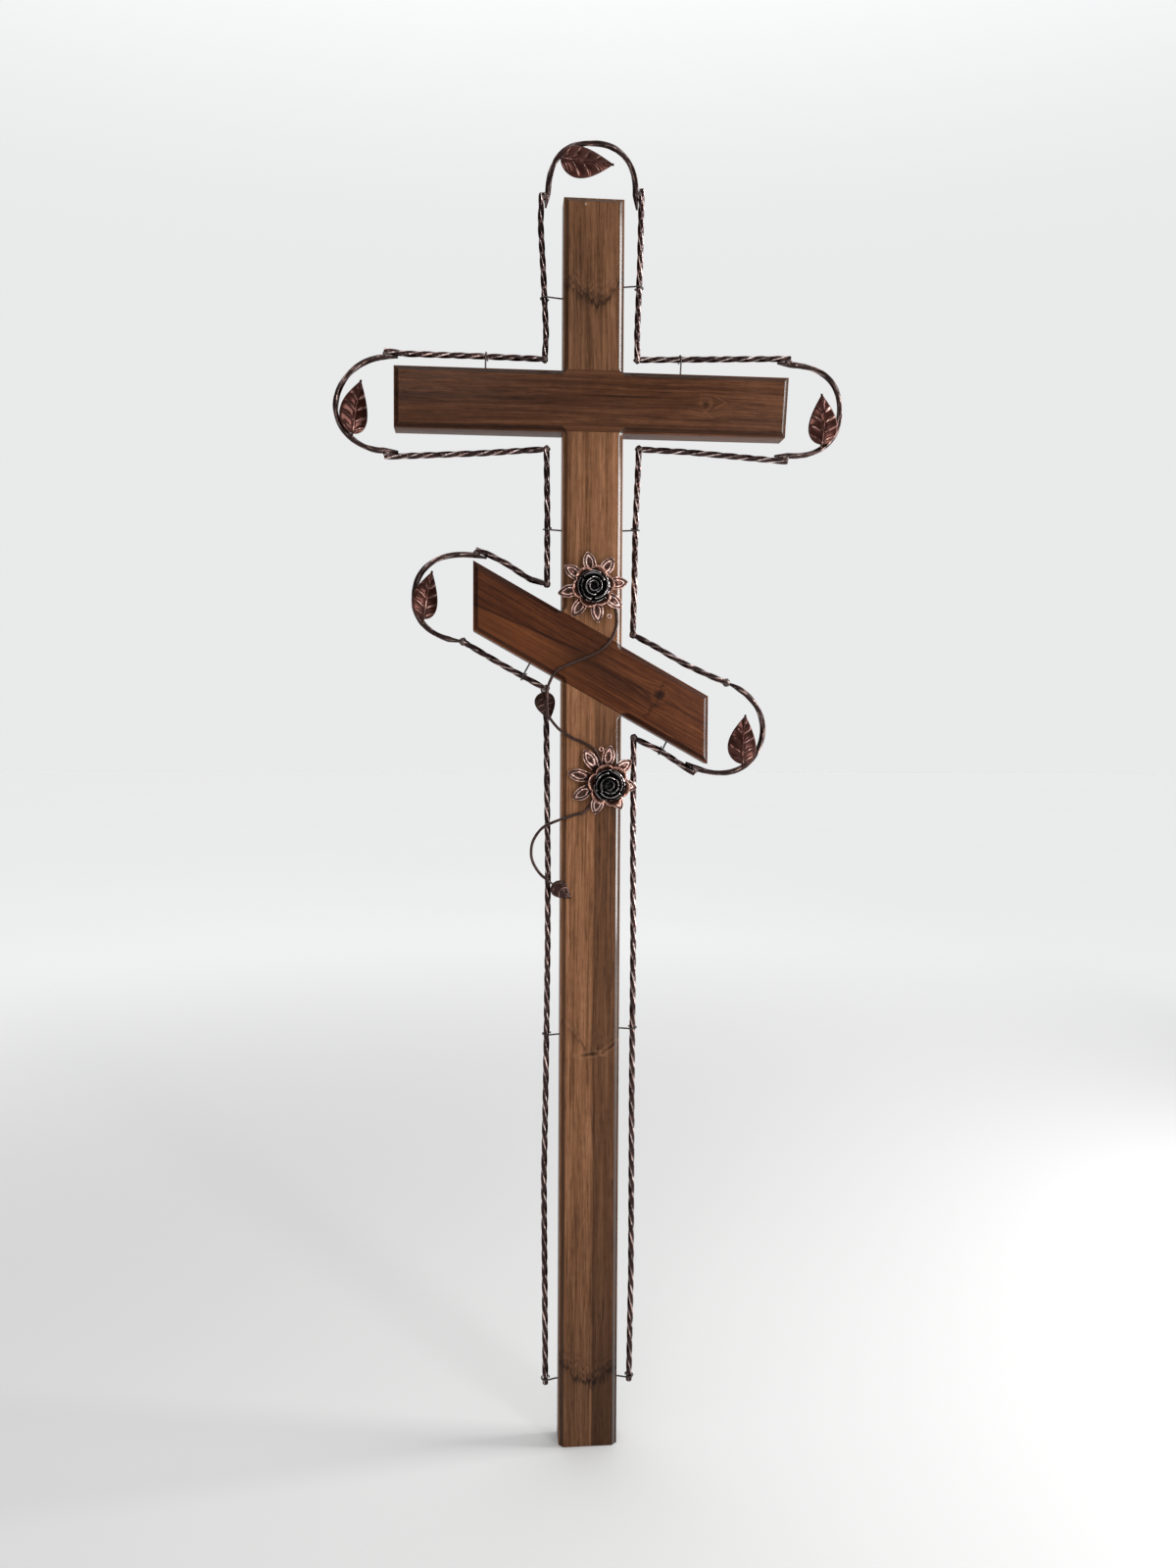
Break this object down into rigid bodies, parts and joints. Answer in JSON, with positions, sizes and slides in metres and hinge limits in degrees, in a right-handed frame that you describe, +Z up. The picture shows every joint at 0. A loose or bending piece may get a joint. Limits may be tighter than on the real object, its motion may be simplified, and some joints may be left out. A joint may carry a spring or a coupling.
{
  "type": "wooden grave cross with wrought iron outline",
  "caption": "Three-barred wooden grave cross with a slanted lower bar, inside a twisted iron outline with leaves, roses and a vine.",
  "frame": {"origin": "middle of the post's sawn foot, at half the boards' thickness", "axes": "+Z up the post, -Y out of the moulded front with the roses, +X towards the viewer's right, which is the low end of the slanted bar"},
  "size_m": [0.8125, 0.0834, 2.0958],
  "materials": {
    "post_wood": "stained pine with a satin glaze, upright grain",
    "crossbar_wood": "darker stained pine with a satin glaze, level grain",
    "slant_wood": "red-brown stained pine with a satin glaze, grain along the bar",
    "twisted_iron": "black enamel rubbed with copper on the raised edges",
    "leaf_copper": "dark copper patina, brighter on the veins",
    "petal_copper": "copper patina over black, bright on the embossed rims",
    "rose_black": "glossy black enamel",
    "tie_steel": "dark annealed wire"
  },
  "bodies": {
    "root": {"post": "post_wood", "crossbar": "crossbar_wood", "slanted_bar": "slant_wood", "iron_top_left": "twisted_iron", "iron_top_right": "twisted_iron", "iron_left_arm_top": "twisted_iron", "iron_left_arm_under": "twisted_iron", "iron_right_arm_top": "twisted_iron", "iron_right_arm_under": "twisted_iron", "iron_mid_left": "twisted_iron", "iron_mid_right": "twisted_iron", "iron_slant_left_top": "twisted_iron", "iron_slant_left_under": "twisted_iron", "iron_slant_right_top": "twisted_iron", "iron_slant_right_under": "twisted_iron", "iron_low_left": "twisted_iron", "iron_low_right": "twisted_iron", "arc_top": "twisted_iron", "arc_left": "twisted_iron", "arc_right": "twisted_iron", "arc_slant_left": "twisted_iron", "arc_slant_right": "twisted_iron", "leaf_top": "leaf_copper", "leaf_left": "leaf_copper", "leaf_right": "leaf_copper", "leaf_slant_left": "leaf_copper", "leaf_slant_right": "leaf_copper", "tie_top_left": "tie_steel", "tie_top_right": "tie_steel", "tie_left_arm": "tie_steel", "tie_right_arm": "tie_steel", "tie_mid_left": "tie_steel", "tie_mid_right": "tie_steel", "tie_slant_left": "tie_steel", "tie_slant_right": "tie_steel", "tie_low_left": "tie_steel", "tie_low_right": "tie_steel", "tie_foot_left": "tie_steel", "tie_foot_right": "tie_steel", "petals_upper": "petal_copper", "cup_upper": "petal_copper", "rose_upper": "rose_black", "vine_upper": "twisted_iron", "vine_leaf_upper": "leaf_copper", "eye_upper": "twisted_iron", "petals_lower": "petal_copper", "cup_lower": "petal_copper", "rose_lower": "rose_black", "vine_lower": "twisted_iron", "vine_leaf_lower": "leaf_copper", "eye_lower": "twisted_iron"}
  },
  "joints": []
}
